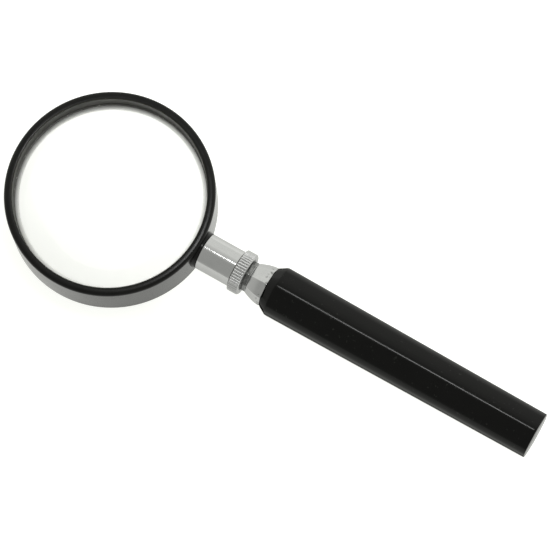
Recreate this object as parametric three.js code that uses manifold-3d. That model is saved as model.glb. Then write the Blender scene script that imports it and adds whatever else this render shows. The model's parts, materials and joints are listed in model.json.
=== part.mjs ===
// Hand lens: a biconvex glass in a deep black rim, on a chromed threaded joint, with a hexagonal
// handle. Millimetres. While the pieces are made, the lens centre is the origin, Z is the optical
// axis and X runs down the handle's axis. The last lines move the origin to the middle of the
// bounding box's base.
import * as THREE from "three";
import { mergeVertices } from "three/addons/utils/BufferGeometryUtils.js";
import Module from "manifold-3d";

const wasm = await Module();
wasm.setup();

// Lens head
const RIM_RADIUS = 35.2;
const RIM_FRONT_Z = 8.1;
const RIM_BACK_Z = -8.8;
const RIM_WALL = 2.8;
const RIM_FRONT_ROUND = 1.2;
const RIM_BACK_ROUND = 0.5;
const RIM_INNER_ROUND = 0.4;
const LENS_RADIUS = 32.2;
const LENS_EDGE = 2.35;
const LENS_CURVATURE = 110;
const LENS_FRONT_EDGE_Z = 1.5;
const LEDGE_WIDTH = 0.55;
const LEDGE_THICKNESS = 1.2;
const SNAP_WIRE_RADIUS = 0.4;
const SNAP_GAP_DEG = 9;
const SNAP_GAP_AT_DEG = -60; // from the handle, seen from above
const PAD_RADIUS = 6.6;
const PAD_FACE_X = 36;

// Stations along the handle's axis, measured from the lens centre
const FERRULE_END_X = 48.6;
const NUT_END_X = 52.7;
const NECK_END_X = 54.4;
const CAP_END_X = 60.7;
const HANDLE_SHOULDER_X = 63.8;
const HANDLE_END_X = 161.4;

// Radii about the handle's axis; on the faceted pieces they are measured to the corners
const FERRULE_RADIUS = 6.4;
const SPIGOT_RADIUS = 5.3;
const NECK_RADIUS = 5.25;
const CAP_START_RADIUS = 5.35;
const CAP_MOUTH_RADIUS = 7;
const HANDLE_START_RADIUS = 7.1;
const HANDLE_SHOULDER_RADIUS = 8.92;
const HANDLE_END_RADIUS = 8.12;
const NUT_RADIUS = 7.45;
const NUT_CHAMFER = 0.4;
const KNURL_TEETH = 46;
const KNURL_DEPTH = 0.4;
const CAP_FACETS = 8;
const CAP_TWIST_DEG = 8;
const HANDLE_FACETS = 6;
const HANDLE_CORNER_ROUND = 0.66; // as a share of the reach to the corner

// Hidden fastenings
const SCREW_RADIUS = 1.75;
const SCREW_HEAD_RADIUS = 2.8;
const SCREW_HEAD_X = 33.5;
const SCREW_HEAD_THICKNESS = 1.1;
const SCREW_END_X = 39.3;
const SCREW_SLOT = 0.7;
const FERRULE_FLOOR = 3;
const SPIGOT_START_X = 43;
const STUD_RADIUS = 2.5;
const STUD_START_X = 51.5;
const STUD_END_X = 74;
const INSERT_RADIUS = 4.3;
const INSERT_END_X = 75;
const WASHER_THICKNESS = 0.5;
const WASHER_RADIUS = 6.1;

const MATE_GAP = 0.1;
const SLIP_GAP = 0.15;
const RUNNING_GAP = 0.2;

const RIM_SEGMENTS = 60;
const LENS_SEGMENTS = 48;
const FITTING_SEGMENTS = 32;
const SMALL_SEGMENTS = 20;
const HANDLE_SEGMENTS = 36;
const QUARTER_STEPS = 2;
const LENS_STEPS = 6;
const SNAP_STEPS = 44;
const SNAP_SIDES = 6;
const CAP_STEPS = 5;

const blackEnamel = new THREE.MeshStandardMaterial({ color: 0x101010, roughness: 0.18, metalness: 0 });
const clearGlass = new THREE.MeshStandardMaterial({ color: 0xf2f6f5, roughness: 0.02, metalness: 0 });
const darkSteel = new THREE.MeshStandardMaterial({ color: 0x2b2b2c, roughness: 0.4, metalness: 1 });
const chrome = new THREE.MeshStandardMaterial({ color: 0xc9cbcc, roughness: 0.1, metalness: 1 });
const zincSteel = new THREE.MeshStandardMaterial({ color: 0x9b9c9a, roughness: 0.35, metalness: 1 });
const brass = new THREE.MeshStandardMaterial({ color: 0xb08d4a, roughness: 0.35, metalness: 1 });
const blackPlastic = new THREE.MeshStandardMaterial({ color: 0x141414, roughness: 0.25, metalness: 0 });

// Points of an arc in a profile, angles in degrees, from the first to the last
function arc(centreR, centreH, radius, from, to, steps) {
  const points = [];
  for (let i = 0; i <= steps; i += 1) {
    const angle = THREE.MathUtils.degToRad(from + ((to - from) * i) / steps);
    points.push([centreR + radius * Math.cos(angle), centreH + radius * Math.sin(angle)]);
  }
  return points;
}

// A profile of [radius, height] pairs turned about Y
function turned(profile, segments) {
  const points = profile.map(([r, h]) => new THREE.Vector2(r, h));
  return new THREE.LatheGeometry(points, segments);
}

// The same, with heights along the optical axis Z
function turnedAboutZ(profile, segments) {
  return turned(profile, segments).rotateX(Math.PI / 2);
}

// The same, with heights along the handle's axis X; the first corner stands at +Z
function turnedAboutX(profile, segments) {
  return turned(profile, segments).rotateZ(-Math.PI / 2);
}

// A closed ring profile has its first point again at the end
function closed(profile) {
  return [...profile, profile[0]];
}

// Ring profile of a tube, wound the same way as the other profiles
function tube(inner, outer, start, end) {
  return closed([[inner, start], [outer, start], [outer, end], [inner, end]]);
}

// Profile of a plain rod
function rod(radius, start, end) {
  return [[0, start], [radius, start], [radius, end], [0, end]];
}

// A closed geometry as a solid for cutting and joining
function toSolid(geometry) {
  const plain = geometry.clone();
  plain.deleteAttribute("normal");
  plain.deleteAttribute("uv");
  const merged = mergeVertices(plain, 1e-4);
  const index = merged.index.array;
  const kept = [];
  for (let i = 0; i < index.length; i += 3) {
    const [a, b, c] = [index[i], index[i + 1], index[i + 2]];
    if (a !== b && b !== c && c !== a) kept.push(a, b, c);
  }
  const vertProperties = new Float32Array(merged.attributes.position.array);
  const triVerts = new Uint32Array(kept);
  return new wasm.Manifold(new wasm.Mesh({ numProp: 3, vertProperties, triVerts }));
}

// A cut or joined solid as a geometry again
function toGeometry(solid) {
  const mesh = solid.getMesh();
  const geometry = new THREE.BufferGeometry();
  geometry.setAttribute("position", new THREE.BufferAttribute(mesh.vertProperties, 3));
  geometry.setIndex(new THREE.BufferAttribute(mesh.triVerts, 1));
  geometry.computeVertexNormals();
  return geometry;
}

function piece(name, geometry, material) {
  const mesh = new THREE.Mesh(geometry, material);
  mesh.name = name;
  return mesh;
}

// Distance from a lens surface's centre of curvature down to the height of radius r on it
function reachAt(r) {
  return Math.sqrt(LENS_CURVATURE ** 2 - r ** 2);
}

// Height of the lens's back surface at radius r
function lensBackZ(r) {
  return LENS_FRONT_EDGE_Z - LENS_EDGE + reachAt(LENS_RADIUS) - reachAt(r);
}

// Deep rim: rounded lips, a groove for the snap ring, a narrow ledge under the lens, and a flat
// pad for the ferrule with the recess of its screw.
function rim() {
  const bore = RIM_RADIUS - RIM_WALL;
  const grooveZ = LENS_FRONT_EDGE_Z + MATE_GAP + SNAP_WIRE_RADIUS;
  const grooveHalf = SNAP_WIRE_RADIUS + MATE_GAP;
  const ledgeTop = lensBackZ(bore - LEDGE_WIDTH) - MATE_GAP;
  const frontCentre = RIM_RADIUS - RIM_FRONT_ROUND;
  const frontZ = RIM_FRONT_Z - RIM_FRONT_ROUND;
  const backCentre = RIM_RADIUS - RIM_BACK_ROUND;
  const backZ = RIM_BACK_Z + RIM_BACK_ROUND;
  const innerCentre = bore + RIM_INNER_ROUND;
  const ring = turnedAboutZ(closed([
    ...arc(backCentre, backZ, RIM_BACK_ROUND, -90, 0, QUARTER_STEPS),
    ...arc(frontCentre, frontZ, RIM_FRONT_ROUND, 0, 90, QUARTER_STEPS),
    ...arc(innerCentre, RIM_FRONT_Z - RIM_INNER_ROUND, RIM_INNER_ROUND, 90, 180, QUARTER_STEPS),
    [bore, grooveZ + grooveHalf],
    [bore + grooveHalf, grooveZ + grooveHalf],
    [bore + grooveHalf, grooveZ - grooveHalf],
    [bore, grooveZ - grooveHalf],
    [bore, ledgeTop],
    [bore - LEDGE_WIDTH, ledgeTop],
    [bore - LEDGE_WIDTH, ledgeTop - LEDGE_THICKNESS],
    [bore, ledgeTop - LEDGE_THICKNESS],
    ...arc(innerCentre, RIM_BACK_Z + RIM_INNER_ROUND, RIM_INNER_ROUND, 180, 270, QUARTER_STEPS),
  ]), RIM_SEGMENTS);
  const padStart = PAD_FACE_X - RIM_WALL;
  const pad = turnedAboutX(rod(PAD_RADIUS, padStart, PAD_FACE_X), FITTING_SEGMENTS);
  const headSeat = SCREW_HEAD_X + SCREW_HEAD_THICKNESS + MATE_GAP;
  const screwWay = turnedAboutX([
    [0, bore - LEDGE_WIDTH],
    [SCREW_HEAD_RADIUS + RUNNING_GAP, bore - LEDGE_WIDTH],
    [SCREW_HEAD_RADIUS + RUNNING_GAP, headSeat],
    [SCREW_RADIUS + RUNNING_GAP, headSeat],
    [SCREW_RADIUS + RUNNING_GAP, PAD_FACE_X + 1],
    [0, PAD_FACE_X + 1],
  ], SMALL_SEGMENTS);
  const solid = toSolid(ring).add(toSolid(pad)).subtract(toSolid(screwWay));
  return piece("rim", toGeometry(solid), blackEnamel);
}

// Biconvex glass with a plain ground edge
function lens() {
  const reach = reachAt(LENS_RADIUS);
  const edgeAngle = THREE.MathUtils.radToDeg(Math.asin(LENS_RADIUS / LENS_CURVATURE));
  const frontCentre = LENS_FRONT_EDGE_Z - reach;
  const backCentre = LENS_FRONT_EDGE_Z - LENS_EDGE + reach;
  const back = arc(0, backCentre, LENS_CURVATURE, -90, -90 + edgeAngle, LENS_STEPS);
  const front = arc(0, frontCentre, LENS_CURVATURE, 90 - edgeAngle, 90, LENS_STEPS);
  back[0][0] = 0;
  front[front.length - 1][0] = 0;
  return piece("lens", turnedAboutZ([...back, ...front], LENS_SEGMENTS), clearGlass);
}

// The centre line of the snap ring: a circle with a gap on the side away from the handle
class SnapPath extends THREE.Curve {
  getPoint(t) {
    const gap = THREE.MathUtils.degToRad(SNAP_GAP_DEG);
    const start = THREE.MathUtils.degToRad(SNAP_GAP_AT_DEG) + gap / 2;
    const angle = start + t * (2 * Math.PI - gap);
    const radius = RIM_RADIUS - RIM_WALL;
    return new THREE.Vector3(radius * Math.cos(angle), radius * Math.sin(angle), 0);
  }
}

// Split wire ring that springs into the rim's groove and holds the lens on its ledge
function snapRing() {
  const section = new THREE.Shape();
  for (let i = 0; i < SNAP_SIDES; i += 1) {
    const angle = (2 * Math.PI * i) / SNAP_SIDES;
    const x = SNAP_WIRE_RADIUS * Math.cos(angle);
    const y = SNAP_WIRE_RADIUS * Math.sin(angle);
    if (i === 0) section.moveTo(x, y);
    else section.lineTo(x, y);
  }
  section.closePath();
  const geometry = new THREE.ExtrudeGeometry(section, {
    steps: SNAP_STEPS,
    extrudePath: new SnapPath(),
    bevelEnabled: false,
  });
  const mesh = piece("snap_ring", geometry, darkSteel);
  mesh.position.z = LENS_FRONT_EDGE_Z + MATE_GAP + SNAP_WIRE_RADIUS;
  return mesh;
}

// Chromed socket: a floor for the rim's screw, then a threaded bore for the cap's spigot
function ferrule() {
  const start = PAD_FACE_X + MATE_GAP;
  const floor = start + FERRULE_FLOOR;
  const bore = SPIGOT_RADIUS + SLIP_GAP;
  const tapped = SCREW_RADIUS + SLIP_GAP;
  const profile = closed([
    [tapped, start],
    [FERRULE_RADIUS, start],
    [FERRULE_RADIUS, FERRULE_END_X],
    [bore, FERRULE_END_X],
    [bore, floor],
    [tapped, floor],
  ]);
  return piece("ferrule", turnedAboutX(profile, FITTING_SEGMENTS), chrome);
}

// Slotted screw driven from inside the rim, under the lens's edge
function ferruleScrew() {
  const headEnd = SCREW_HEAD_X + SCREW_HEAD_THICKNESS;
  const body = turnedAboutX([
    [0, SCREW_HEAD_X],
    [SCREW_HEAD_RADIUS, SCREW_HEAD_X],
    [SCREW_HEAD_RADIUS, headEnd],
    [SCREW_RADIUS, headEnd],
    [SCREW_RADIUS, SCREW_END_X],
    [0, SCREW_END_X],
  ], SMALL_SEGMENTS);
  const slot = new THREE.BoxGeometry(SCREW_HEAD_THICKNESS, 3 * SCREW_HEAD_RADIUS, SCREW_SLOT);
  slot.translate(SCREW_HEAD_X, 0, 0);
  const solid = toSolid(body).subtract(toSolid(slot));
  return piece("ferrule_screw", toGeometry(solid), zincSteel);
}

// Knurled lock nut: straight teeth, both edges bevelled, a recess in front for the washer
function lockNut() {
  const start = FERRULE_END_X + RUNNING_GAP;
  const outline = new THREE.Shape();
  for (let i = 0; i < 2 * KNURL_TEETH; i += 1) {
    const angle = (Math.PI * i) / KNURL_TEETH;
    const radius = i % 2 === 0 ? NUT_RADIUS : NUT_RADIUS - KNURL_DEPTH;
    const x = radius * Math.cos(angle);
    const y = radius * Math.sin(angle);
    if (i === 0) outline.moveTo(x, y);
    else outline.lineTo(x, y);
  }
  outline.closePath();
  const depth = NUT_END_X - start;
  const toothed = new THREE.ExtrudeGeometry(outline, { depth, bevelEnabled: false, steps: 1 });
  toothed.rotateY(Math.PI / 2);
  toothed.translate(start, 0, 0);
  const bevelled = turnedAboutX([
    [0, start],
    [NUT_RADIUS - NUT_CHAMFER, start],
    [NUT_RADIUS, start + NUT_CHAMFER],
    [NUT_RADIUS, NUT_END_X - NUT_CHAMFER],
    [NUT_RADIUS - NUT_CHAMFER, NUT_END_X],
    [0, NUT_END_X],
  ], 2 * KNURL_TEETH);
  const recess = start + WASHER_THICKNESS + MATE_GAP;
  const bore = SPIGOT_RADIUS + RUNNING_GAP;
  const hole = turnedAboutX([
    [0, start - 1],
    [WASHER_RADIUS + SLIP_GAP, start - 1],
    [WASHER_RADIUS + SLIP_GAP, recess],
    [bore, recess],
    [bore, NUT_END_X + 1],
    [0, NUT_END_X + 1],
  ], FITTING_SEGMENTS);
  const solid = toSolid(toothed).intersect(toSolid(bevelled)).subtract(toSolid(hole));
  return piece("lock_nut", toGeometry(solid), chrome);
}

// Thin washer carried in the nut's recess, so that the nut doesn't score the ferrule
function nutWasher() {
  const start = FERRULE_END_X + MATE_GAP;
  const profile = tube(SPIGOT_RADIUS + RUNNING_GAP, WASHER_RADIUS, start, start + WASHER_THICKNESS);
  return piece("nut_washer", turnedAboutX(profile, FITTING_SEGMENTS), brass);
}

// Chromed cap: a threaded spigot, a short faceted neck and a faceted bell that flares out to
// meet the handle, tapped behind for the stud. Its corners stop a few degrees off the handle's
// corners, where its thread pulls tight.
function handleCap() {
  const spigot = turnedAboutX(rod(SPIGOT_RADIUS, SPIGOT_START_X, NUT_END_X + MATE_GAP), FITTING_SEGMENTS);
  const bell = [];
  for (let i = 0; i <= CAP_STEPS; i += 1) {
    const along = i / CAP_STEPS;
    const swell = Math.sin((along * Math.PI) / 2);
    const radius = CAP_START_RADIUS + (CAP_MOUTH_RADIUS - CAP_START_RADIUS) * swell;
    bell.push([radius, NECK_END_X + along * (CAP_END_X - NECK_END_X)]);
  }
  const faceted = turnedAboutX([
    [0, NUT_END_X - MATE_GAP],
    [NECK_RADIUS, NUT_END_X - MATE_GAP],
    [NECK_RADIUS, NECK_END_X],
    ...bell,
    [0, CAP_END_X],
  ], CAP_FACETS);
  faceted.rotateX(THREE.MathUtils.degToRad(CAP_TWIST_DEG));
  const tapped = rod(STUD_RADIUS + SLIP_GAP, STUD_START_X - SLIP_GAP, CAP_END_X + 1);
  const hole = turnedAboutX(tapped, SMALL_SEGMENTS);
  const solid = toSolid(spigot).add(toSolid(faceted)).subtract(toSolid(hole));
  return piece("handle_cap", toGeometry(solid), chrome);
}

// Steel stud that ties the cap to the brass insert
function stud() {
  return piece("stud", turnedAboutX(rod(STUD_RADIUS, STUD_START_X, STUD_END_X), SMALL_SEGMENTS), zincSteel);
}

// Brass bush moulded into the handle's mouth
function handleInsert() {
  const start = CAP_END_X + 2 * MATE_GAP;
  const profile = tube(STUD_RADIUS + SLIP_GAP, INSERT_RADIUS, start, INSERT_END_X);
  return piece("handle_insert", turnedAboutX(profile, SMALL_SEGMENTS), brass);
}

// Reach of the handle's section at an angle from its nearest corner, the corner's own being 1:
// an arc at the corner, then the flat
function hexReach(angle) {
  const centre = 1 - HANDLE_CORNER_ROUND;
  const half = Math.PI / HANDLE_FACETS;
  const flat = centre * Math.cos(half) + HANDLE_CORNER_ROUND;
  const arcEnd = half - Math.atan2(centre * Math.sin(half), flat);
  if (angle >= arcEnd) return flat / Math.cos(half - angle);
  return centre * Math.cos(angle) + Math.sqrt(HANDLE_CORNER_ROUND ** 2 - (centre * Math.sin(angle)) ** 2);
}

// A round turning drawn in to the handle's section, with a corner at +Z
function hexagonal(geometry) {
  const position = geometry.attributes.position;
  const facet = (2 * Math.PI) / HANDLE_FACETS;
  for (let i = 0; i < position.count; i += 1) {
    const y = position.getY(i);
    const z = position.getZ(i);
    const past = (Math.atan2(y, z) + 2 * Math.PI) % facet;
    const reach = hexReach(Math.min(past, facet - past));
    position.setY(i, y * reach);
    position.setZ(i, z * reach);
  }
  return geometry;
}

// Soft-cornered hexagonal handle: a bevelled shoulder, then six flats that taper to a plain end
function handle() {
  const start = CAP_END_X + MATE_GAP;
  const body = hexagonal(turnedAboutX([
    [0, start],
    [HANDLE_START_RADIUS, start],
    [HANDLE_SHOULDER_RADIUS, HANDLE_SHOULDER_X],
    [HANDLE_END_RADIUS, HANDLE_END_X],
    [0, HANDLE_END_X],
  ], HANDLE_SEGMENTS));
  const hollow = rod(INSERT_RADIUS + SLIP_GAP, start - 1, INSERT_END_X + MATE_GAP);
  const pocket = turnedAboutX(hollow, SMALL_SEGMENTS);
  const solid = toSolid(body).subtract(toSolid(pocket));
  return piece("handle", toGeometry(solid), blackPlastic);
}

const head = new THREE.Group();
head.add(rim(), lens(), snapRing(), ferrule(), ferruleScrew());

const grip = new THREE.Group();
grip.add(handleCap(), stud(), handleInsert(), handle());

const lock = new THREE.Group();
lock.add(nutWasher(), lockNut());

const handLens = new THREE.Group();
handLens.add(head, grip, lock);
handLens.position.x = (RIM_RADIUS - HANDLE_END_X) / 2;
handLens.position.z = HANDLE_SHOULDER_RADIUS;

export default handLens;
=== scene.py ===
"""The looks of a hand lens: a glass in a deep black rim, a chromed threaded joint with a knurled
lock nut, and a hexagonal black handle. Lengths here are millimetres measured from the lens centre,
with X down the handle's axis and Z along the optical axis; made() turns them into the frame's
metres. Stations along the axis come from the CAD nodes' boxes."""

import json
import math

import bmesh
import bpy
from mathutils import Matrix, Vector


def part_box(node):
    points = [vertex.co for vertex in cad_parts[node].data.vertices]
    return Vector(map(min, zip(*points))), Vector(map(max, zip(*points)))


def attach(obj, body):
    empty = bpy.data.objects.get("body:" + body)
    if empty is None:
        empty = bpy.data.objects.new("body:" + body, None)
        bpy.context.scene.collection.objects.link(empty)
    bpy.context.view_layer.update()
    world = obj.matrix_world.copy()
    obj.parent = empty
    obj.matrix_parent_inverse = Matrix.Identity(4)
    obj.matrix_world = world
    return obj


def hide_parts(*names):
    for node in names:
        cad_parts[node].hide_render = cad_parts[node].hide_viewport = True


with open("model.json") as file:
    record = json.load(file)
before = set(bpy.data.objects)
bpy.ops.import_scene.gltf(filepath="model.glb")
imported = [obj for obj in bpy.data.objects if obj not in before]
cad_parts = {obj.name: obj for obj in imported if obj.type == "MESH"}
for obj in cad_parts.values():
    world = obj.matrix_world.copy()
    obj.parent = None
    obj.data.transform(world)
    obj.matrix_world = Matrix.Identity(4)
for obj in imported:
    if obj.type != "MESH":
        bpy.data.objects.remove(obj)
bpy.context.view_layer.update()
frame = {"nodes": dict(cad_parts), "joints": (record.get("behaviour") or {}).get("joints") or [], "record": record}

MM = 0.001

# Where the lens centre and the handle's axis are in the frame, in metres
rim_low, rim_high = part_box("rim")
RIM_RADIUS = (rim_high.y - rim_low.y) / 2 / MM
handle_low, handle_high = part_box("handle")
ORIGIN = Vector((rim_low.x + RIM_RADIUS * MM, 0, (handle_low.z + handle_high.z) / 2))


def span(node, axis):
    """A CAD node's extent along one axis, in millimetres from the lens centre."""
    low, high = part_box(node)
    return (low[axis] - ORIGIN[axis]) / MM, (high[axis] - ORIGIN[axis]) / MM


X, Y, Z = 0, 1, 2

# Sizes read from the frame
RIM_BACK, RIM_FRONT = span("rim", Z)
PAD_FACE = span("rim", X)[1]
LENS_RADIUS = span("lens", Y)[1]
LENS_BACK, LENS_FRONT = span("lens", Z)
SNAP_LOW, SNAP_HIGH = span("snap_ring", Z)
FERRULE_START, FERRULE_END = span("ferrule", X)
FERRULE_RADIUS = span("ferrule", Z)[1]
NUT_START, NUT_END = span("lock_nut", X)
NUT_RADIUS = span("lock_nut", Z)[1]
WASHER_START, WASHER_END = span("nut_washer", X)
WASHER_RADIUS = span("nut_washer", Z)[1]
SPIGOT_START, CAP_END = span("handle_cap", X)
HANDLE_START, HANDLE_END = span("handle", X)
SHOULDER_RADIUS = span("handle", Z)[1]
INSERT_RADIUS = span("handle_insert", Z)[1]
STUD_RADIUS = span("stud", Z)[1]
SCREW_HEAD_START, SCREW_END = span("ferrule_screw", X)
SCREW_HEAD_RADIUS = span("ferrule_screw", Y)[1]
nut_travel = [j for j in frame["joints"] if j["name"] == "nut_travel"][0]
NECK_END = NUT_END + nut_travel["range_m"][1] / MM

# Sizes that no box gives
RIM_WALL = 2.8
RIM_FRONT_ROUND = 1.2
RIM_BACK_ROUND = 0.5
RIM_INNER_ROUND = 0.4
LEDGE_ROUND = 0.15
LEDGE_FILLET = 0.3
RIM_STRIP = 0.15  # a narrow strip beside a rounding, which keeps its shading from spreading
LIP_SLOPE_DEG = 6  # of the crowned front lip, at its two ends
LENS_CURVATURE = 110
LENS_BEVEL = 0.15
# width of the lens's ground edge band, which carries the painted shadow of the rim
GROUND_WIDTH = 1.3
LEDGE_WIDTH = 0.55
LEDGE_THICKNESS = 1.2
SNAP_GAP_DEG = 9
SNAP_GAP_AT_DEG = -60  # from the handle, seen from above
SNAP_END_EASE = (0.7, 0.88, 0.97)  # shares of the wire's thickness, from a cut end inward
GROOVE_NICK = 0.08
PAD_RADIUS = 6.6
PAD_ROUND = 0.2
SPIGOT_RADIUS = 5.3
THREAD_PITCH = 0.75
THREAD_DEPTH = 0.4
NECK_RADIUS = 5.25
CAP_START_RADIUS = 5.35
CAP_MOUTH_RADIUS = 7
CAP_FACETS = 8
CAP_TWIST_DEG = 8
CAP_EDGE_ROUND = 0.35
CAP_CROWN = 0.02
HANDLE_FACETS = 6
HANDLE_START_RADIUS = 7.1
HANDLE_END_RADIUS = 8.12
SHOULDER_SET_BACK = 3
HANDLE_CORNER_ROUND = 0.66  # as a share of the reach to the corner
HANDLE_CROWN = 0.03
HANDLE_END_ROUND = 0.25
SHOULDER_EASE = 0.35
KNURL_TEETH = 46
KNURL_DEPTH = 0.34
NUT_CHAMFER = 0.4
NUT_START_BEVEL = 0.2
WASHER_EDGE = 0.06
FERRULE_EDGE = 0.18
SCREW_RADIUS = 1.75
SCREW_HEAD_THICKNESS = 1.1
SCREW_HEAD_ROUND = 0.35
SCREW_SLOT = 0.7
SCREW_WAY = (30, 40)  # stations inside the rim and past its pad
FERRULE_FLOOR = 3
GAP = 0.1  # between a piece and the seat or groove that holds it
SLIP = 0.15  # between a bore and what goes into it
TURNING_SLIP = 0.2  # the same, where the two turn
BORE = RIM_RADIUS - RIM_WALL

# Camera, distances in metres and the lens in millimetres
CAMERA_TARGET = Vector((-0.00266, 0.00456, 0.00892))
CAMERA_DISTANCE = 1.1234
CAMERA_TILT_DEG = 14.58
CAMERA_AZIMUTH_DEG = -52.39
CAMERA_ROLL_DEG = 30.97
CAMERA_LENS = 222.5

# Lighting, in metres: leans are from the camera's direction, about the handle's axis
OPENING_LEAN_DEG = 30
STRIP_LEAN_DEG = 22
STRIP_DISTANCE = 0.9
STRIP_LENGTH = 0.25
STRIP_WIDTH = 0.055
STRIP_WATTS = 1.0
STRIP_SHIFT = -0.175
CLOTH_TINT = (0.99, 1.0, 0.955)
# The tent's brightness at some angles in degrees from the middle of its opening
TENT_LEVELS = ((90, 1.25), (84, 1.25), (76, 1.1), (66, 0.92), (48, 0.7), (42, 0.6), (0, 0.6))
TABLE_REACH = 4.0
# The table's painted glow, which stands in for light, on the near and far side of the handle's axis, and where
# these are reached; brighter on the far side, where the strip's light falls
TABLE_NEAR_MM, TABLE_NEAR_GLOW = -25, 0.86
TABLE_FAR_MM, TABLE_FAR_GLOW = 20, 1.12

# An edge sharper than this stays sharp unless a piece says otherwise
SHARP_DEG = 32


# ---------------------------------------------------------------- mesh helpers


def made(name, verts, faces, sharp_deg=SHARP_DEG):
    """An object from points in millimetres about the lens centre, smooth but for its sharp edges."""
    mesh = bpy.data.meshes.new(name)
    mesh.from_pydata([ORIGIN + Vector(v) * MM for v in verts], [], faces)
    bm = bmesh.new()
    bm.from_mesh(mesh)
    bmesh.ops.remove_doubles(bm, verts=bm.verts, dist=1e-7)
    bmesh.ops.recalc_face_normals(bm, faces=bm.faces)
    bm.to_mesh(mesh)
    bm.free()
    mesh.shade_smooth()
    mesh.set_sharp_from_angle(angle=math.radians(sharp_deg))
    obj = bpy.data.objects.new(name, mesh)
    bpy.context.scene.collection.objects.link(obj)
    return obj


def grid_faces(rings, count, closed_rings):
    """Quads between rings of points; closed_rings joins the last ring to the first."""
    faces = []
    for i in range(rings if closed_rings else rings - 1):
        a = i * count
        b = ((i + 1) % rings) * count
        for j in range(count):
            k = (j + 1) % count
            faces.append((a + j, a + k, b + k, b + j))
    return faces


def revolve(name, profile, segments, axis, closed=False):
    """A profile of (radius, height) pairs turned about X or Z. It ends on the axis or is closed."""
    verts = []
    for radius, height in profile:
        for j in range(segments):
            turn = 2 * math.pi * j / segments
            across = radius * math.cos(turn)
            up = radius * math.sin(turn)
            verts.append((height, across, up) if axis == X else (across, up, height))
    faces = grid_faces(len(profile), segments, closed)
    return without_slivers(made(name, verts, faces))


def without_slivers(obj):
    """Drops the faces that collapsed where a profile reaches the axis."""
    bm = bmesh.new()
    bm.from_mesh(obj.data)
    bmesh.ops.dissolve_degenerate(bm, dist=1e-8, edges=bm.edges)
    bm.to_mesh(obj.data)
    bm.free()
    return obj


def loft(name, sections, sharp_deg=SHARP_DEG):
    """Skin over sections of equal point counts, closed by a fan at each end."""
    count = len(sections[0])
    verts = [p for section in sections for p in section]
    faces = grid_faces(len(sections), count, False)
    for section, first in ((sections[0], 0), (sections[-1], (len(sections) - 1) * count)):
        centre = len(verts)
        verts.append(sum((Vector(p) for p in section), Vector()) / count)
        faces += [(centre, first + j, first + (j + 1) % count) for j in range(count)]
    return made(name, verts, faces, sharp_deg)


def arc(radius_at, height_at, radius, start, end, steps):
    """Points of an arc in a profile, angles in degrees."""
    points = []
    for i in range(steps + 1):
        turn = math.radians(start + (end - start) * i / steps)
        points.append((radius_at + radius * math.cos(turn), height_at + radius * math.sin(turn)))
    return points


def between(start, end, steps):
    """Even steps from one value to another, both ends included."""
    return [start + (end - start) * i / steps for i in range(steps + 1)]


def combined(obj, tool, operation):
    """obj with the tool joined to it or cut from it. The tool is used up."""
    modifier = obj.modifiers.new("cut", "BOOLEAN")
    modifier.object = tool
    modifier.operation = operation
    modifier.solver = "EXACT"
    depsgraph = bpy.context.evaluated_depsgraph_get()
    mesh = bpy.data.meshes.new_from_object(obj.evaluated_get(depsgraph))
    obj.modifiers.clear()
    obj.data = mesh
    bpy.data.objects.remove(tool)
    mesh.shade_smooth()
    mesh.set_sharp_from_angle(angle=math.radians(SHARP_DEG))
    return obj


def stands_for(obj, node, material):
    """Gives a piece its material, its body and the CAD node that it replaces."""
    obj.data.materials.clear()
    obj.data.materials.append(material)
    body = [b for b, nodes in frame["record"]["behaviour"]["bodies"].items() if node in nodes][0]
    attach(obj, body)
    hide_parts(node)


# ---------------------------------------------------------------- material helpers


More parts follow.
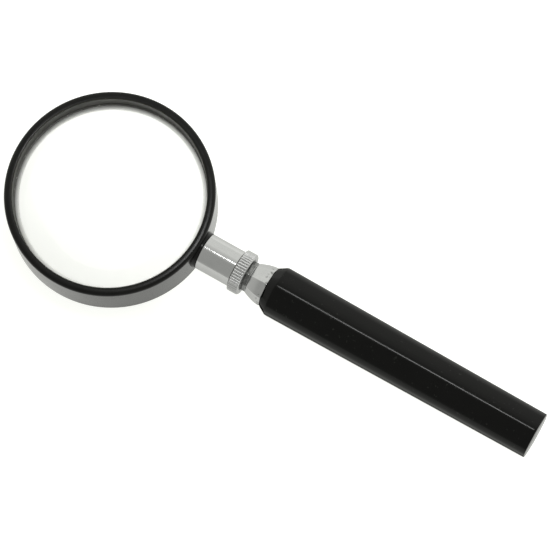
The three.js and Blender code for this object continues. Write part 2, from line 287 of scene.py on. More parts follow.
class Shader:
    """A principled material with a few short ways to add nodes to it."""

    def __init__(self, name, **settings):
        self.material = bpy.data.materials.new(name)
        self.material.use_nodes = True
        self.nodes = self.material.node_tree.nodes
        self.links = self.material.node_tree.links
        self.principled = self.nodes["Principled BSDF"]
        for socket, value in settings.items():
            self.principled.inputs[socket.replace("_", " ")].default_value = value
        self.coordinates = self.nodes.new("ShaderNodeTexCoord").outputs["Object"]

    def add(self, kind, **settings):
        node = self.nodes.new(kind)
        for key, value in settings.items():
            setattr(node, key, value)
        return node

    def scaled(self, scale, rotation=(0, 0, 0), offset=(0, 0, 0)):
        """Object coordinates, moved, turned and scaled; scale in cycles per millimetre."""
        mapping = self.add("ShaderNodeMapping")
        mapping.inputs["Location"].default_value = offset
        mapping.inputs["Rotation"].default_value = rotation
        mapping.inputs["Scale"].default_value = [s / MM for s in scale]
        self.links.new(self.coordinates, mapping.inputs["Vector"])
        return mapping.outputs["Vector"]

    def axis_distance(self):
        """Distance from the lens's optical axis, in millimetres."""
        moved = self.scaled((1, 1, 0), offset=(-ORIGIN.x / MM, -ORIGIN.y / MM, 0))
        node = self.add("ShaderNodeVectorMath", operation="LENGTH")
        self.links.new(moved, node.inputs[0])
        return node.outputs["Value"]

    def stretch(self, start, end, soft):
        """1 between two stations along the handle's axis, 0 outside them."""
        parts = self.add("ShaderNodeSeparateXYZ")
        self.links.new(self.scaled((1, 1, 1), offset=(-ORIGIN.x / MM, 0, 0)), parts.inputs[0])
        away = self.math("ABSOLUTE", self.math("SUBTRACT", parts.outputs["X"], (start + end) / 2))
        half = (end - start) / 2
        return self.ramp(away, half - soft, half, 1.0, 0.0)

    def noise(self, scale, detail=3.0, **placing):
        """Noise with features of 1/scale millimetres; scale is a number or one per axis."""
        scales = scale if isinstance(scale, tuple) else (scale, scale, scale)
        node = self.add("ShaderNodeTexNoise")
        node.inputs["Scale"].default_value = 1.0
        node.inputs["Detail"].default_value = detail
        self.links.new(self.scaled(scales, **placing), node.inputs["Vector"])
        return node.outputs["Fac"]

    def scratches(self, per_mm, angle_deg, width=0.02):
        """Sparse fine straight lines: thin bands of a stretched noise."""
        turn = (0, 0, math.radians(angle_deg))
        fine = self.noise((per_mm, per_mm * 0.02, per_mm * 0.02), 0.0, rotation=turn)
        line = self.band(fine, 0.5, width)
        patches = self.ramp(self.noise(0.12, 1.0, rotation=turn), 0.5, 0.62, 0.0, 1.0)
        return self.math("MULTIPLY", line, patches)

    def band(self, value, middle, width):
        """1 where a value is at the middle of a narrow band, 0 outside it."""
        away = self.math("ABSOLUTE", self.math("SUBTRACT", value, middle))
        return self.ramp(away, 0.0, width, 1.0, 0.0)

    def ramp(self, value, low, high, to_low, to_high):
        node = self.add("ShaderNodeMapRange", clamp=True)
        self.feed(value, node.inputs["Value"])
        node.inputs["From Min"].default_value = low
        node.inputs["From Max"].default_value = high
        node.inputs["To Min"].default_value = to_low
        node.inputs["To Max"].default_value = to_high
        return node.outputs["Result"]

    def math(self, operation, a, b=None):
        node = self.add("ShaderNodeMath", operation=operation)
        self.feed(a, node.inputs[0])
        if b is not None:
            self.feed(b, node.inputs[1])
        return node.outputs[0]

    def feed(self, value, socket):
        if isinstance(value, bpy.types.NodeSocket):
            self.links.new(value, socket)
        else:
            socket.default_value = value

    def mixed(self, factor, a, b):
        node = self.add("ShaderNodeMix", data_type="RGBA")
        self.feed(factor, node.inputs["Factor"])
        self.feed(a, node.inputs["A"])
        self.feed(b, node.inputs["B"])
        return node.outputs["Result"]

    def bump(self, height, distance_mm, under=None):
        """A normal from a height; under is a coarser normal that it lies on."""
        node = self.add("ShaderNodeBump")
        node.inputs["Distance"].default_value = distance_mm * MM
        self.links.new(height, node.inputs["Height"])
        if under is not None:
            self.links.new(under, node.inputs["Normal"])
        return node.outputs["Normal"]

    def set(self, socket, value):
        self.feed(value, self.principled.inputs[socket])


# ---------------------------------------------------------------- materials


def black_enamel():
    """Gloss stoved enamel on the rim, with a faint orange peel and fine scuffs, matt in the bore, where it is also
    painted paler as a reflection of the table seen through the lens.
    """
    s = Shader("black_enamel", IOR=1.265)
    scuffs = s.math("MAXIMUM", s.scratches(3.0, 25), s.scratches(2.4, 110))
    haze = s.ramp(s.noise(0.1, 4.0), 0.35, 0.75, 0.17, 0.24)
    in_bore = s.ramp(s.axis_distance(), BORE + 0.1, BORE + 0.4, 1.0, 0.0)
    worn = s.math("ADD", haze, s.math("MULTIPLY", scuffs, 0.1))
    s.set("Roughness", s.math("ADD", worn, s.math("MULTIPLY", in_bore, 0.16)))
    tone = s.ramp(s.noise(0.25, 3.0), 0.3, 0.7, 0.0, 1.0)
    gloss = s.mixed(tone, (0.002, 0.002, 0.0016, 1), (0.0045, 0.0045, 0.0038, 1))
    # painted reflection: the bore is paler, standing in for the table it reflects through the lens
    s.set("Base Color", s.mixed(in_bore, gloss, (0.032, 0.032, 0.026, 1)))
    peel = s.bump(s.noise(0.55, 1.0), 0.004)
    s.set("Normal", s.bump(scuffs, 0.0008, under=peel))
    return s.material


def black_plastic():
    """Semi-gloss moulding of the handle: a slight waviness along it, handling scuffs, grain and pale
    specks. Its sheen fades at a glance as painted shade of the table beside it, fades further on the
    shoulder's bevel, and the end face keeps a little of it."""
    s = Shader("black_plastic", IOR=1.245)
    facing = s.add("ShaderNodeLayerWeight").outputs["Facing"]
    # painted shade: the sheen dimmed at a glance, standing in for the shaded table that the handle's sides reflect
    glance_dimmed_sheen = s.ramp(facing, 0.35, 0.8, 0.5, 0.01)
    # the end face keeps a little sheen, spared from the painted shade
    end_face_sheen = s.math("MULTIPLY", s.stretch(HANDLE_END - 0.2, HANDLE_END + 1, 0.1), 0.03)
    shoulder = s.stretch(HANDLE_START - 1, HANDLE_START + SHOULDER_SET_BACK, 0.3)
    # rubbed here is the sheen with the painted shade, lowered again on the shoulder's bevel
    rubbed = s.math("SUBTRACT", glance_dimmed_sheen, s.math("MULTIPLY", shoulder, 0.08))
    s.set("Specular IOR Level", s.math("MAXIMUM", rubbed, end_face_sheen))
    scuffs = s.math("MAXIMUM", s.scratches(2.2, 8), s.scratches(2.6, 75))
    haze = s.ramp(s.noise((0.03, 0.12, 0.12), 4.0), 0.35, 0.7, 0.1, 0.17)
    s.set("Roughness", s.math("ADD", haze, s.math("MULTIPLY", scuffs, 0.12)))
    tone = s.ramp(s.noise(0.2, 4.0), 0.3, 0.7, 0.0, 1.0)
    resin = s.mixed(tone, (0.0006, 0.0006, 0.0004, 1), (0.0014, 0.0014, 0.001, 1))
    specks = s.ramp(s.noise(0.8, 2.0), 0.68, 0.72, 0.0, 1.0)
    s.set("Base Color", s.mixed(specks, resin, (0.012, 0.012, 0.011, 1)))
    waves = s.bump(s.noise((0.045, 0.2, 0.2), 1.0), 0.045)
    grain = s.bump(s.noise(6.0, 2.0), 0.0012, under=waves)
    s.set("Normal", s.bump(scuffs, 0.001, under=grain))
    return s.material


def neck_and_mouth(s):
    """The neck behind the lock nut, darkened in patches as painted shade and reflection of the nut, and painted
    dark reflections of the handle where the cap meets it.
    """
    patches = s.ramp(s.noise(0.9, 4.0), 0.4, 0.65, 0.62, 0.85)
    # painted shade: the neck darkened in patches where the nut shades it
    nut_shade = s.math("MULTIPLY", s.stretch(NUT_START, NECK_END - 0.05, 0.1), patches)
    spots = s.ramp(s.noise(0.75, 3.0), 0.54, 0.64, 0.0, 0.6)
    # painted reflection: dark spots at the cap's mouth that stand in for the handle's reflection
    mouth_reflection = s.math("MULTIPLY", s.stretch(CAP_END - 2, CAP_END + 2, 1.2), spots)
    return s.math("MAXIMUM", nut_shade, mouth_reflection)


def chrome_plate(name, polish_along_x, matt=0.0, painted_shade=None):
    """Bright chrome over turned steel: faint polishing lines, fine scratches and a little haze. matt
    adds to the roughness, and painted_shade is a function that gives where painted shade and painted reflections
    darken it."""
    s = Shader(name, Metallic=1.0, Specular_Tint=(0.66, 0.66, 0.66, 1))
    along, round_it = (0.05, 5.0) if polish_along_x else (6.0, 0.05)
    lines = s.noise((along, round_it, round_it), 2.0)
    scuffs = s.math("MAXIMUM", s.scratches(3.0, 15), s.scratches(3.5, 80))
    haze = s.ramp(s.noise(0.25, 4.0), 0.3, 0.75, 0.07 + matt, 0.14 + matt)
    streaky = s.math("ADD", haze, s.ramp(lines, 0.4, 0.8, 0.0, 0.06))
    s.set("Roughness", s.math("ADD", streaky, s.math("MULTIPLY", scuffs, 0.1)))
    tone = s.ramp(s.noise(0.3, 4.0), 0.3, 0.7, 0.0, 1.0)
    plate = s.mixed(tone, (0.428, 0.43, 0.43, 1), (0.455, 0.456, 0.455, 1))
    if painted_shade:
        # painted shade: the plate turns dark by the factor that painted_shade gives
        plate = s.mixed(painted_shade(s), plate, (0.05, 0.052, 0.05, 1))
    s.set("Base Color", plate)
    fine = s.bump(lines, 0.0006)
    waves = s.bump(s.noise(0.35, 1.0), 0.004, under=fine)
    s.set("Normal", s.bump(scuffs, 0.0006, under=waves))
    return s.material


def lens_glass():
    """Polished crown glass with a breath of dust and a few hairline sleeks."""
    s = Shader("lens_glass", IOR=1.52, Transmission_Weight=1.0)
    sleeks = s.math("MAXIMUM", s.scratches(1.6, 40), s.scratches(1.2, 100))
    dust = s.ramp(s.noise(2.5, 3.0), 0.72, 0.82, 0.0, 0.03)
    s.set("Roughness", s.math("ADD", dust, s.math("MULTIPLY", sleeks, 0.015)))
    tint = s.ramp(s.noise(0.05, 2.0), 0.3, 0.7, 0.0, 1.0)
    s.set("Base Color", s.mixed(tint, (0.994, 0.998, 0.994, 1), (0.998, 1.0, 0.997, 1)))
    s.set("Normal", s.bump(sleeks, 0.0002))
    return s.material


def ground_glass():
    """The lens's edge and bevel, ground matt, its colour darkened outward as painted shadow of the rim."""
    s = Shader("ground_glass", IOR=1.52, Transmission_Weight=0.85)
    s.set("Roughness", s.ramp(s.noise(9.0, 3.0), 0.3, 0.7, 0.45, 0.7))
    # painted shadow: the edge band darkens toward the rim, standing in for the rim's shade seen through the lens
    painted_rim_shadow = s.ramp(s.axis_distance(), LENS_RADIUS - GROUND_WIDTH, LENS_RADIUS, 0.0, 0.8)
    shade_and_speckle = s.math("ADD", painted_rim_shadow, s.ramp(s.noise(1.5, 3.0), 0.3, 0.7, 0.0, 0.1))
    s.set("Base Color", s.mixed(shade_and_speckle, (0.9, 0.9, 0.89, 1), (0.2, 0.2, 0.2, 1)))
    s.set("Normal", s.bump(s.noise(12.0, 3.0), 0.02))
    return s.material


def dark_wire():
    """Oil-blackened spring wire with a fine grain and a few rubbed spots."""
    s = Shader("dark_wire", Metallic=1.0)
    rubbed = s.ramp(s.noise(0.9, 4.0), 0.58, 0.72, 0.0, 1.0)
    s.set("Base Color", s.mixed(rubbed, (0.12, 0.12, 0.115, 1), (0.3, 0.3, 0.29, 1)))
    s.set("Roughness", s.ramp(s.noise(3.0, 4.0), 0.3, 0.7, 0.3, 0.5))
    s.set("Normal", s.bump(s.noise((6.0, 6.0, 14.0), 2.0), 0.004))
    return s.material


def zinc_steel():
    """Bright zinc plate, slightly spangled, for the hidden screw and stud."""
    s = Shader("zinc_steel", Metallic=1.0)
    spots = s.ramp(s.noise(1.8, 5.0), 0.35, 0.7, 0.0, 1.0)
    s.set("Base Color", s.mixed(spots, (0.5, 0.5, 0.47, 1), (0.68, 0.68, 0.66, 1)))
    s.set("Roughness", s.ramp(s.noise(2.5, 4.0), 0.3, 0.7, 0.25, 0.42))
    s.set("Normal", s.bump(s.noise((8.0, 1.0, 1.0), 2.0), 0.003))
    return s.material


def brass():
    """Turned brass, a little tarnished."""
    s = Shader("brass", Metallic=1.0)
    tarnish = s.ramp(s.noise(0.8, 5.0), 0.4, 0.75, 0.0, 1.0)
    s.set("Base Color", s.mixed(tarnish, (0.66, 0.48, 0.2, 1), (0.42, 0.29, 0.12, 1)))
    s.set("Roughness", s.ramp(s.noise(2.0, 4.0), 0.3, 0.7, 0.24, 0.4))
    s.set("Normal", s.bump(s.noise((9.0, 1.0, 1.0), 2.0), 0.003))
    return s.material


def white_table():
    """Matt laminate with a painted glow that stands in for the light on it and hides its shadows, brighter on the
    far side of the axis, where the strip's light falls.
    """
    s = Shader("white_table")
    tone = s.ramp(s.noise(0.02, 3.0), 0.3, 0.7, 0.0, 1.0)
    s.set("Base Color", s.mixed(tone, (0.28, 0.28, 0.28, 1), (0.3, 0.3, 0.3, 1)))
    s.set("Roughness", 0.9)
    s.set("Emission Color", (*CLOTH_TINT, 1))
    across = s.add("ShaderNodeSeparateXYZ")
    s.links.new(s.scaled((1, 1, 1)), across.inputs[0])
    painted_glow = (TABLE_NEAR_MM, TABLE_FAR_MM, TABLE_NEAR_GLOW, TABLE_FAR_GLOW)
    # painted light: the table's glow rises from the near side to the far side of the axis
    s.set("Emission Strength", s.ramp(across.outputs["Y"], *painted_glow))
    return s.material


# ---------------------------------------------------------------- the lens head


def lens_surface(radius):
    """Drop of a lens surface from its top at some radius."""
    return LENS_CURVATURE - math.sqrt(LENS_CURVATURE**2 - radius**2)


def rim():
    """Deep rim with rounded lips, a snap groove, a ledge under the lens, and the ferrule's pad. The
    front lip is three arcs with shared tangents: the outer rounding, a crown, the inner rounding."""
    groove_low = SNAP_LOW - GAP
    groove_high = SNAP_HIGH + GAP
    groove_floor = BORE + (SNAP_HIGH - SNAP_LOW) / 2 + GAP
    ledge_inner = BORE - LEDGE_WIDTH
    ledge_top = LENS_BACK + lens_surface(ledge_inner) - GAP
    ledge_low = ledge_top - LEDGE_THICKNESS
    front_at = RIM_RADIUS - RIM_FRONT_ROUND
    inner_at = BORE + RIM_INNER_ROUND
    slope = math.radians(LIP_SLOPE_DEG)
    crown_half = (front_at - inner_at + (RIM_FRONT_ROUND + RIM_INNER_ROUND) * math.sin(slope)) / 2
    crown_radius = crown_half / math.sin(slope)
    crown_at = front_at + RIM_FRONT_ROUND * math.sin(slope) - crown_half
    crown_z = RIM_FRONT - crown_radius
    front_z = crown_z + (crown_radius - RIM_FRONT_ROUND) * math.cos(slope)
    inner_front = crown_z + (crown_radius - RIM_INNER_ROUND) * math.cos(slope)
    back_at = RIM_RADIUS - RIM_BACK_ROUND
    back_z = RIM_BACK + RIM_BACK_ROUND
    inner_back = RIM_BACK + RIM_INNER_ROUND
    nick = GROOVE_NICK
    ledge_at = ledge_inner + LEDGE_ROUND
    profile = [
        *arc(back_at, back_z, RIM_BACK_ROUND, -90, 0, 8),
        (RIM_RADIUS, back_z + RIM_STRIP),
        (RIM_RADIUS, front_z - RIM_STRIP),
        *arc(front_at, front_z, RIM_FRONT_ROUND, 0, 90 - LIP_SLOPE_DEG, 12),
        *arc(crown_at, crown_z, crown_radius, 90 - LIP_SLOPE_DEG, 90 + LIP_SLOPE_DEG, 8),
        *arc(inner_at, inner_front, RIM_INNER_ROUND, 90 + LIP_SLOPE_DEG, 180, 6),
        (BORE, inner_front - RIM_STRIP),
        (BORE, groove_high + nick),
        (BORE + nick, groove_high),
        (groove_floor, groove_high),
        (groove_floor, groove_low),
        (BORE + nick, groove_low),
        (BORE, groove_low - nick),
        (BORE, ledge_top + nick),
        (BORE - nick, ledge_top),
        *arc(ledge_at, ledge_top - LEDGE_ROUND, LEDGE_ROUND, 90, 180, 4),
        *arc(ledge_at, ledge_low + LEDGE_ROUND, LEDGE_ROUND, 180, 270, 4),
        *arc(BORE - LEDGE_FILLET, ledge_low - LEDGE_FILLET, LEDGE_FILLET, 90, 0, 4),
        (BORE, inner_back + RIM_STRIP),
        *arc(inner_at, inner_back, RIM_INNER_ROUND, 180, 270, 8),
    ]
    body = revolve("rim_shell", profile, 240, Z, closed=True)
    pad_profile = [
        (0, BORE + 1),
        (PAD_RADIUS, BORE + 1),
        *arc(PAD_RADIUS - PAD_ROUND, PAD_FACE - PAD_ROUND, PAD_ROUND, 0, 90, 4),
        (0, PAD_FACE),
    ]
    pad = revolve("pad", pad_profile, 96, X)
    start, end = SCREW_WAY
    head_seat = SCREW_HEAD_START + SCREW_HEAD_THICKNESS + GAP
    head_way = SCREW_HEAD_RADIUS + 2 * GAP
    way = SCREW_RADIUS + 2 * GAP
    way_profile = [
        (0, start),
        (head_way, start),
        (head_way, head_seat),
        (way, head_seat),
        (way, end),
        (0, end),
    ]
    screw_way = revolve("screw_way", way_profile, 48, X)
    body = combined(body, pad, "UNION")
    return combined(body, screw_way, "DIFFERENCE")


def lens(clear, ground):
    """Biconvex glass: finely stepped polished faces, a matt ground edge band that carries painted shadow of the
    rim, and small bevels.
    """
    sag = lens_surface(LENS_RADIUS)
    edge_front = LENS_FRONT - sag
    edge_back = LENS_BACK + sag
    radii = between(0, LENS_RADIUS - LENS_BEVEL, 46)
    back = [(r, LENS_BACK + lens_surface(r)) for r in radii]
    front = [(r, LENS_FRONT - lens_surface(r)) for r in reversed(radii)]
    edge = [(LENS_RADIUS, z) for z in between(edge_back + LENS_BEVEL, edge_front - LENS_BEVEL, 4)]
    obj = revolve("lens_glass", [*back, *edge, *front], 192, Z)
    stands_for(obj, "lens", clear)
    obj.data.materials.append(ground)
    for face in obj.data.polygons:
        reach = (face.center - ORIGIN).xy.length / MM
        if reach > LENS_RADIUS - GROUND_WIDTH:
            face.material_index = 1


def snap_ring():
    """Split spring wire of round section, its two cut ends eased in."""
    radius = (SNAP_HIGH - SNAP_LOW) / 2
    height = (SNAP_HIGH + SNAP_LOW) / 2
    gap = math.radians(SNAP_GAP_DEG)
    start = math.radians(SNAP_GAP_AT_DEG) + gap / 2
    turns = between(start, start + 2 * math.pi - gap, 240)
    sides = 16
    sections = []
    for i, turn in enumerate(turns):
        from_end = min(i, len(turns) - 1 - i)
        size = radius * (SNAP_END_EASE[from_end] if from_end < len(SNAP_END_EASE) else 1)
        points = []
        for j in range(sides):
            round_it = 2 * math.pi * j / sides
            reach = BORE + size * math.cos(round_it)
            up = height + size * math.sin(round_it)
            points.append((reach * math.cos(turn), reach * math.sin(turn), up))
        sections.append(points)
    return loft("snap_wire", sections, sharp_deg=50)


# ---------------------------------------------------------------- pieces on the handle's axis


def polygon(x, corner_radius, sides, round_radius, crown, twist_deg, per_side=10, per_corner=6):
    """Section of a faceted bar: arcs at its corners and, between them, flats with a slight crown.
    A corner stands at +Z before the twist."""
    points = []
    half = math.pi / sides
    reach = corner_radius + round_radius / math.cos(half) - round_radius
    flat_half = (reach * math.cos(half) - round_radius) * math.tan(half)
    flat_at = reach * math.cos(half)
    for k in range(sides):
        corner = 2 * math.pi * k / sides + math.radians(twist_deg)
        for i in range(per_corner + 1):
            turn = corner - half + 2 * half * i / per_corner
            centre = reach - round_radius / math.cos(half)
            across = centre * math.sin(corner) + round_radius * math.sin(turn)
            up = centre * math.cos(corner) + round_radius * math.cos(turn)
            points.append((x, -across, up))
        middle = corner + half
        for i in range(1, per_side):
            along = -1 + 2 * i / per_side
            out = flat_at + crown * (1 - along**2)
            side = along * flat_half
            across = out * math.sin(middle) + side * math.cos(middle)
            up = out * math.cos(middle) - side * math.sin(middle)
            points.append((x, -across, up))
    return points


def ferrule():
    """Chromed socket with lightly broken edges, its bore and the tapped hole in its floor."""
    bore = SPIGOT_RADIUS + SLIP
    tapped = SCREW_RADIUS + SLIP
    floor = FERRULE_START + FERRULE_FLOOR
    edge = FERRULE_EDGE
    profile = [
        (tapped, FERRULE_START),
        (FERRULE_RADIUS - edge, FERRULE_START),
        *arc(FERRULE_RADIUS - edge, FERRULE_START + edge, edge, -90, 0, 4),
        (FERRULE_RADIUS, FERRULE_START + 0.3),
        *[(FERRULE_RADIUS, x) for x in between(FERRULE_START + 1, FERRULE_END - 1, 8)],
        (FERRULE_RADIUS, FERRULE_END - 0.3),
        *arc(FERRULE_RADIUS - edge, FERRULE_END - edge, edge, 0, 90, 4),
        (bore + 0.2, FERRULE_END),
        (bore, FERRULE_END - 0.2),
        (bore, floor),
        (tapped, floor),
    ]
    return revolve("ferrule_sleeve", profile, 160, X, closed=True)


def lock_nut():
    """Knurled nut: straight rounded teeth between two bevels, with a recess for the washer. Its
    outline is of stations, radii and whether the teeth are cut there."""
    per_tooth = 8
    count = KNURL_TEETH * per_tooth
    recess = WASHER_END + GAP
    recess_radius = WASHER_RADIUS + SLIP
    bore = SPIGOT_RADIUS + TURNING_SLIP
    root = NUT_RADIUS - KNURL_DEPTH - 0.05
    start_low = NUT_RADIUS - NUT_START_BEVEL - NUT_START
    end_low = NUT_RADIUS - NUT_CHAMFER + NUT_END
    start_slope = between(NUT_START + 0.05, NUT_START + NUT_START_BEVEL, 3)
    flat_part = between(NUT_START + NUT_START_BEVEL + 0.1, NUT_END - NUT_CHAMFER - 0.1, 4)
    end_slope = between(NUT_END - NUT_CHAMFER, NUT_END - 0.1, 5)
    outline = [
        (NUT_START, recess_radius + 0.1, False),
        (NUT_START, root, False),
        *[(x, start_low + x, True) for x in start_slope],
        *[(x, NUT_RADIUS, True) for x in flat_part],
        *[(x, end_low - x, True) for x in end_slope],
        (NUT_END, root, False),
        (NUT_END, bore + 0.3, False),
        (NUT_END - 0.25, bore, False),
        (recess, bore, False),
        (recess, recess_radius, False),
        (NUT_START + 0.1, recess_radius, False),
    ]
    verts = []
    for x, radius, toothed in outline:
        for j in range(count):
            turn = 2 * math.pi * j / count
            wave = abs(math.sin(turn * KNURL_TEETH / 2))
            groove = NUT_RADIUS - KNURL_DEPTH * (1 - wave) ** 1.3
            reach = min(radius, groove) if toothed else radius
            verts.append((x, reach * math.cos(turn), reach * math.sin(turn)))
    return made("knurled_nut", verts, grid_faces(len(outline), count, True), sharp_deg=55)


def washer():
    """Thin brass washer with its edges broken."""
    inner = SPIGOT_RADIUS + TURNING_SLIP
    edge = WASHER_EDGE
    profile = [
        (inner + edge, WASHER_START),
        (WASHER_RADIUS - edge, WASHER_START),
        (WASHER_RADIUS, WASHER_START + edge),
        (WASHER_RADIUS, WASHER_END - edge),
        (WASHER_RADIUS - edge, WASHER_END),
        (inner + edge, WASHER_END),
        (inner, WASHER_END - edge),
        (inner, WASHER_START + edge),
    ]
    return revolve("thin_washer", profile, 96, X, closed=True)


def handle_cap():
    """Chromed cap: a threaded spigot, a faceted neck and a faceted bell that flares to the handle."""
    spigot = threaded_spigot()
    sections = []
    neck_start = NUT_END - 0.1
    for x in (neck_start, neck_start + 0.05, NECK_END - 0.45, NECK_END - 0.12, NECK_END - 0.02):
        sections.append(cap_section(x, NECK_RADIUS))
    for i, along in enumerate(between(0, 1, 28)):
        swell = math.sin(along * math.pi / 2)
        radius = CAP_START_RADIUS + (CAP_MOUTH_RADIUS - CAP_START_RADIUS) * swell
        x = NECK_END + along * (CAP_END - NECK_END)
        inset = 0.1 if i == 0 else 0.05 if i == 28 else 0
        sections.append(cap_section(x, radius - inset))
        if i == 0:
            sections.append(cap_section(x + 0.08, radius))
    bell = loft("chrome_cap", sections, sharp_deg=24)
    hole = round_cutter("stud_hole", STUD_RADIUS + SLIP, NUT_START, CAP_END + 1)
    return combined(combined(bell, spigot, "UNION"), hole, "DIFFERENCE")


def round_cutter(name, radius, start, end):
    """A plain round bar along the handle's axis, to cut a hole with."""
    return revolve(name, [(0, start), (radius, start), (radius, end), (0, end)], 48, X)


def cap_section(x, radius):
    return polygon(x, radius, CAP_FACETS, CAP_EDGE_ROUND, CAP_CROWN, CAP_TWIST_DEG)


def threaded_spigot():
    """The spigot's thread, a helical groove of rounded V section, with a bevelled nose."""
    per_turn = 48
    end = NUT_END + 0.05
    steps = int((end - SPIGOT_START) / THREAD_PITCH * 8)
    sections = []
    for x in between(SPIGOT_START, end, steps):
        nose = min(1.0, 0.86 + (x - SPIGOT_START) / 4)
        points = []
        for j in range(per_turn):
            turn = 2 * math.pi * j / per_turn
            phase = (x / THREAD_PITCH + j / per_turn) % 1
            depth = THREAD_DEPTH * abs(1 - 2 * phase)
            reach = SPIGOT_RADIUS * nose - depth
            points.append((x, reach * math.cos(turn), reach * math.sin(turn)))
        sections.append(points)
    return loft("threaded_spigot", sections, sharp_deg=60)


def handle():
    """Hexagonal grip: a bevelled shoulder, six slightly crowned flats that taper, a plain end."""
    shoulder = HANDLE_START + SHOULDER_SET_BACK
    sections = [
        grip_section(HANDLE_START, HANDLE_START_RADIUS - 0.25),
        grip_section(HANDLE_START + 0.12, HANDLE_START_RADIUS),
    ]
    for along in between(0.1, 0.88, 6):
        x = HANDLE_START + along * SHOULDER_SET_BACK
        radius = HANDLE_START_RADIUS + along * (SHOULDER_RADIUS - HANDLE_START_RADIUS)
        sections.append(grip_section(x, radius))
    for along in between(0, 1, 4):
        x = shoulder + (along - 0.5) * SHOULDER_EASE
        sections.append(grip_section(x, SHOULDER_RADIUS - 0.09 * (1 - along) ** 2 - 0.03))
    for x in between(shoulder + 1, HANDLE_END - 1.2, 40):
        sections.append(grip_section(x, taper(x, shoulder)))
    for i in range(7):
        turn = math.pi / 2 * i / 6
        x = HANDLE_END - HANDLE_END_ROUND * (1 - math.sin(turn))
        inset = HANDLE_END_ROUND * (1 - math.cos(turn))
        sections.append(grip_section(x, taper(x, shoulder) - inset))
    obj = loft("grip", sections, sharp_deg=40)
    pocket_end = span("handle_insert", X)[1] + GAP
    pocket = round_cutter("pocket", INSERT_RADIUS + SLIP, HANDLE_START - 1, pocket_end)
    return combined(obj, pocket, "DIFFERENCE")


def taper(x, shoulder):
    """The handle's radius at its corners behind the shoulder."""
    share = (x - shoulder) / (HANDLE_END - shoulder)
    return SHOULDER_RADIUS + share * (HANDLE_END_RADIUS - SHOULDER_RADIUS)


def grip_section(x, radius):
    corner_round = radius * HANDLE_CORNER_ROUND
    return polygon(x, radius, HANDLE_FACETS, corner_round, HANDLE_CROWN, 0, per_corner=14)


def screw():
    """Slotted screw that holds the ferrule to the rim, with a rounded head."""
    head_end = SCREW_HEAD_START + SCREW_HEAD_THICKNESS
    head_flat = SCREW_HEAD_RADIUS - SCREW_HEAD_ROUND
    profile = [
        (0, SCREW_HEAD_START),
        (head_flat, SCREW_HEAD_START),
        *arc(head_flat, SCREW_HEAD_START + SCREW_HEAD_ROUND, SCREW_HEAD_ROUND, -90, 0, 4),
        (SCREW_HEAD_RADIUS, head_end - 0.08),
        (SCREW_HEAD_RADIUS - 0.08, head_end),
        (SCREW_RADIUS, head_end),
        (SCREW_RADIUS, SCREW_END - 0.3),
        (SCREW_RADIUS - 0.3, SCREW_END),
        (0, SCREW_END),
    ]
    body = revolve("slotted_screw", profile, 64, X)
    low = SCREW_HEAD_START - 1
    high = SCREW_HEAD_START + SCREW_HEAD_THICKNESS / 2
    wide = 1.5 * SCREW_HEAD_RADIUS
    half = SCREW_SLOT / 2
    section = [(wide, half), (-wide, half), (-wide, -half), (wide, -half)]
    slot = loft("slot", [[(x, y, z) for y, z in section] for x in (low, high)])
    return combined(body, slot, "DIFFERENCE")


# ---------------------------------------------------------------- the scene


def table(material):
    """The pale surface that the lens lies on."""
    reach = TABLE_REACH
    corners = [(-reach, -reach), (reach, -reach), (reach, reach), (-reach, reach)]
    mesh = bpy.data.meshes.new("table")
    mesh.from_pydata([(x, y, 0) for x, y in corners], [], [(0, 1, 2, 3)])
    mesh.materials.append(material)
    obj = bpy.data.objects.new("table", mesh)
    bpy.context.scene.collection.objects.link(obj)


def camera_direction():
    """Unit vector from the object to the camera."""
    tilt = math.radians(CAMERA_TILT_DEG)
    azimuth = math.radians(CAMERA_AZIMUTH_DEG)
    across = math.sin(tilt)
    return Vector((across * math.cos(azimuth), across * math.sin(azimuth), math.cos(tilt)))


def camera():
    """The camera, its roll turning the handle down to the right."""
    direction = camera_direction()
    data = bpy.data.cameras.new("camera")
    data.sensor_width = 36
    data.lens = CAMERA_LENS
    obj = bpy.data.objects.new("camera", data)
    turn = Matrix.Rotation(math.radians(CAMERA_ROLL_DEG), 4, direction)
    up = Vector((0, 1, 0))
    up = turn @ (up - up.dot(direction) * direction).normalized()
    side = up.cross(direction)
    rotation = Matrix((side, up, direction)).transposed()
    obj.matrix_world = Matrix.LocRotScale(CAMERA_TARGET + direction * CAMERA_DISTANCE, rotation, None)
    bpy.context.scene.collection.objects.link(obj)
    bpy.context.scene.camera = obj


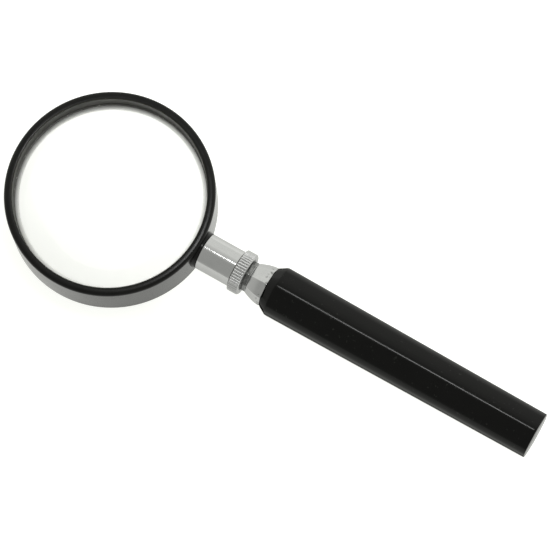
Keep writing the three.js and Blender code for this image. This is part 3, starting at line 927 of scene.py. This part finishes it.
def room():
    """Light tent: white low down and all round, darker overhead where its opening is."""
    world = bpy.data.worlds.new("tent")
    bpy.context.scene.world = world
    world.use_nodes = True
    nodes = world.node_tree.nodes
    links = world.node_tree.links
    direction = nodes.new("ShaderNodeTexCoord").outputs["Generated"]
    opening = Matrix.Rotation(math.radians(OPENING_LEAN_DEG), 3, "X") @ camera_direction()
    dot = nodes.new("ShaderNodeVectorMath")
    dot.operation = "DOT_PRODUCT"
    dot.inputs[1].default_value = opening
    links.new(direction, dot.inputs[0])
    ramp = nodes.new("ShaderNodeValToRGB")
    links.new(dot.outputs["Value"], ramp.inputs["Fac"])
    elements = ramp.color_ramp.elements
    while len(elements) < len(TENT_LEVELS):
        elements.new(0.5)
    for element, (angle, level) in zip(elements, TENT_LEVELS):
        element.position = math.cos(math.radians(angle))
        element.color = (*(level * share for share in CLOTH_TINT), 1)
    links.new(ramp.outputs["Color"], nodes["Background"].inputs["Color"])


def strip_light():
    """Narrow soft box overhead, in line with the handle, a little to the far side."""
    data = bpy.data.lights.new("strip", "AREA")
    data.shape = "RECTANGLE"
    data.size = STRIP_LENGTH
    data.size_y = STRIP_WIDTH
    data.energy = STRIP_WATTS
    obj = bpy.data.objects.new("strip", data)
    toward = Matrix.Rotation(math.radians(-STRIP_LEAN_DEG), 3, "X") @ camera_direction()
    along = Vector((1, 0, 0))
    along = (along - along.dot(toward) * toward).normalized()
    rotation = Matrix((along, toward.cross(along), toward)).transposed()
    place = toward * STRIP_DISTANCE + along * STRIP_SHIFT
    obj.matrix_world = Matrix.LocRotScale(place, rotation, None)
    obj.visible_camera = False
    bpy.context.scene.collection.objects.link(obj)


def paint(node, material):
    """Gives a CAD node that stays its material."""
    obj = frame["nodes"][node]
    obj.data.materials.clear()
    obj.data.materials.append(material)


camera()
room()
strip_light()
table(white_table())

chrome_round = chrome_plate("chrome_round", polish_along_x=False)
chrome_nut = chrome_plate("chrome_nut", polish_along_x=True, matt=0.18)
# the cap gets painted shade behind the nut and painted dark reflections at its mouth
chrome_cap = chrome_plate("chrome_cap", polish_along_x=True, painted_shade=neck_and_mouth)
zinc = zinc_steel()
yellow_metal = brass()

stands_for(rim(), "rim", black_enamel())
lens(lens_glass(), ground_glass())
stands_for(snap_ring(), "snap_ring", dark_wire())
stands_for(ferrule(), "ferrule", chrome_round)
stands_for(screw(), "ferrule_screw", zinc)
stands_for(washer(), "nut_washer", yellow_metal)
stands_for(lock_nut(), "lock_nut", chrome_nut)
stands_for(handle_cap(), "handle_cap", chrome_cap)
stands_for(handle(), "handle", black_plastic())
paint("stud", zinc)
paint("handle_insert", yellow_metal)

bpy.context.scene.view_settings.view_transform = "Standard"
